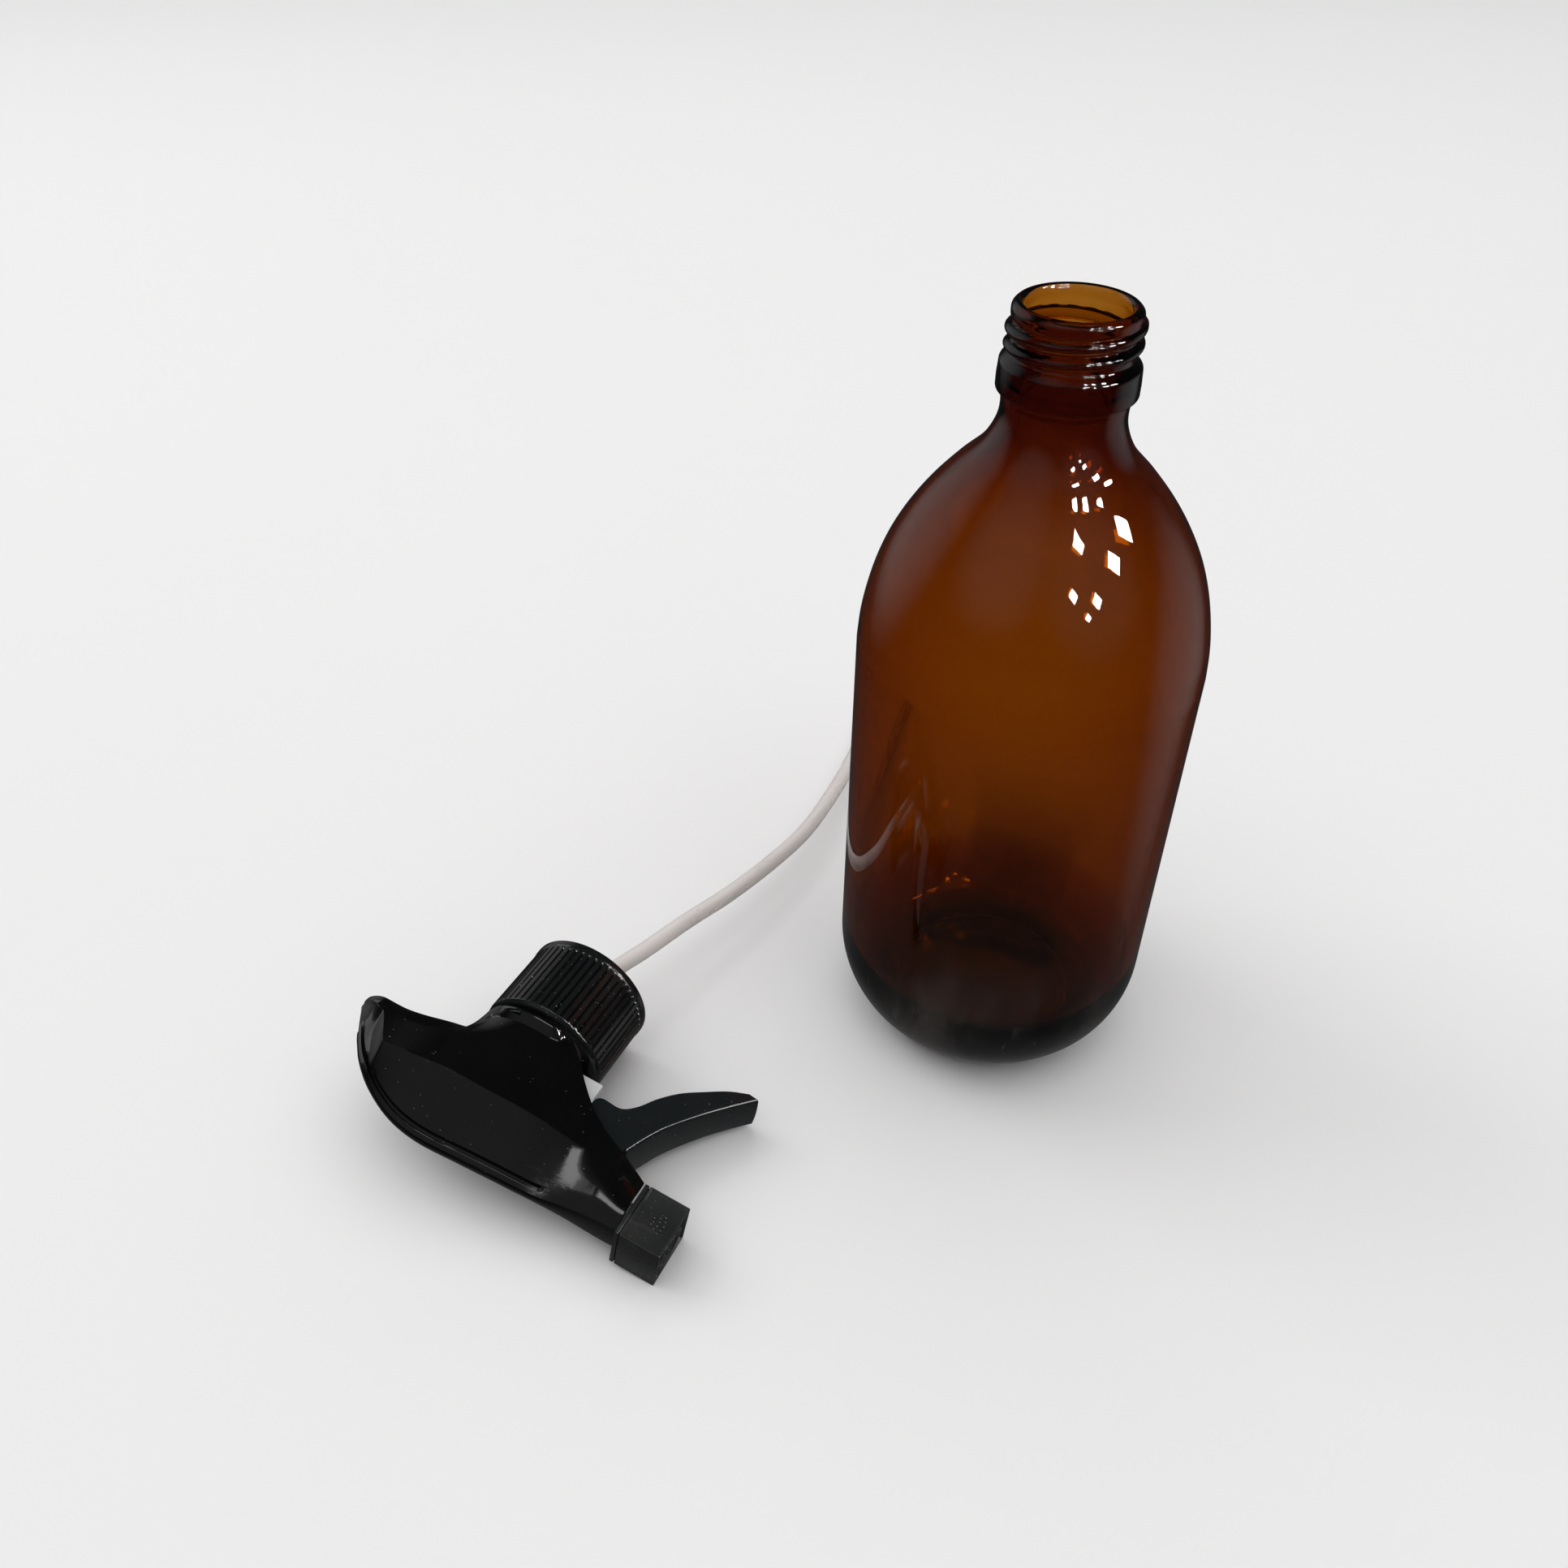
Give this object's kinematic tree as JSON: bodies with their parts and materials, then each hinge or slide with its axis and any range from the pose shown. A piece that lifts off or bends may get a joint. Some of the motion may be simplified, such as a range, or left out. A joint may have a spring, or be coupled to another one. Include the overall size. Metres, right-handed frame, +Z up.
{
  "type": "spray bottle",
  "caption": "Amber glass bottle standing open beside its black trigger sprayer, which lies on its side with the screw collar and milky dip tube.",
  "frame": {"origin": "on the surface, under the middle of the bottle and sprayer together (dip tube left out)", "axes": "+Z up along the bottle; +X along the sprayer's heading as it lies; the sprayer's in-use up direction is -Y"},
  "size_m": [0.1702, 0.2362, 0.1909],
  "materials": {
    "amber_glass": "glossy amber bottle glass",
    "gloss_black": "glossy moulded black",
    "natural_grey": "grey moulded plastic, satin",
    "milky_tube": "translucent milky extruded tube",
    "white_seal": "soft white seal plastic",
    "steel": "bright stainless wire and ball"
  },
  "bodies": {
    "bottle_body": {"bottle": "amber_glass"},
    "sprayer_body": {"shroud": "gloss_black", "pump_body": "natural_grey", "outlet_plug": "natural_grey", "outlet_spring": "steel", "return_spring": "steel", "trigger_pin": "steel", "spinner": "white_seal", "nozzle_seal": "white_seal", "neck_gasket": "white_seal", "tube_retainer": "natural_grey", "intake_seat": "white_seal", "dip_tube": "milky_tube"},
    "collar_body": {"screw_collar": "gloss_black"},
    "trigger_body": {"trigger": "gloss_black"},
    "piston_body": {"piston": "natural_grey", "piston_seal": "white_seal", "vent_seal": "white_seal"},
    "nozzle_body": {"nozzle_cap": "gloss_black"},
    "intake_ball_body": {"intake_ball": "steel"},
    "outlet_disc_body": {"outlet_disc": "white_seal"}
  },
  "joints": [
    {"name": "sprayer_lift", "type": "slide", "parent": "bottle_body", "child": "sprayer_body", "axis": [0, 0, 1], "range_m": [0, 0.15]},
    {"name": "collar_spin", "type": "hinge", "parent": "sprayer_body", "child": "collar_body", "pos_m": [-0.0417, -0.0331, 0.0168], "axis": [0, -1, 0], "continuous": true},
    {"name": "trigger_squeeze", "type": "hinge", "parent": "sprayer_body", "child": "trigger_body", "pos_m": [-0.01273, -0.0653, 0.01121], "axis": [0.1896, 0, 0.9819], "range_deg": [0, 25], "stiffness_Nm_per_rad": 1.2, "deforming": ["return_spring"]},
    {"name": "piston_push", "type": "slide", "parent": "sprayer_body", "child": "piston_body", "axis": [-0.9819, 0, 0.1896], "range_m": [0, 0.0049]},
    {"name": "nozzle_turn", "type": "hinge", "parent": "sprayer_body", "child": "nozzle_body", "pos_m": [0.00543, -0.07255, 0.0077], "axis": [0.9819, 0, -0.1896], "continuous": true},
    {"name": "intake_ball_lift", "type": "slide", "parent": "sprayer_body", "child": "intake_ball_body", "axis": [0, -1, 0], "range_m": [0, 0.0012]},
    {"name": "outlet_disc_lift", "type": "slide", "parent": "sprayer_body", "child": "outlet_disc_body", "axis": [0, -1, 0], "range_m": [0, 0.0006], "stiffness_N_per_m": 60, "deforming": ["outlet_spring"]}
  ],
  "couplings": [
    {"joint": "piston_push", "follows": "trigger_squeeze", "m_per_rad": 0.0112}
  ]
}
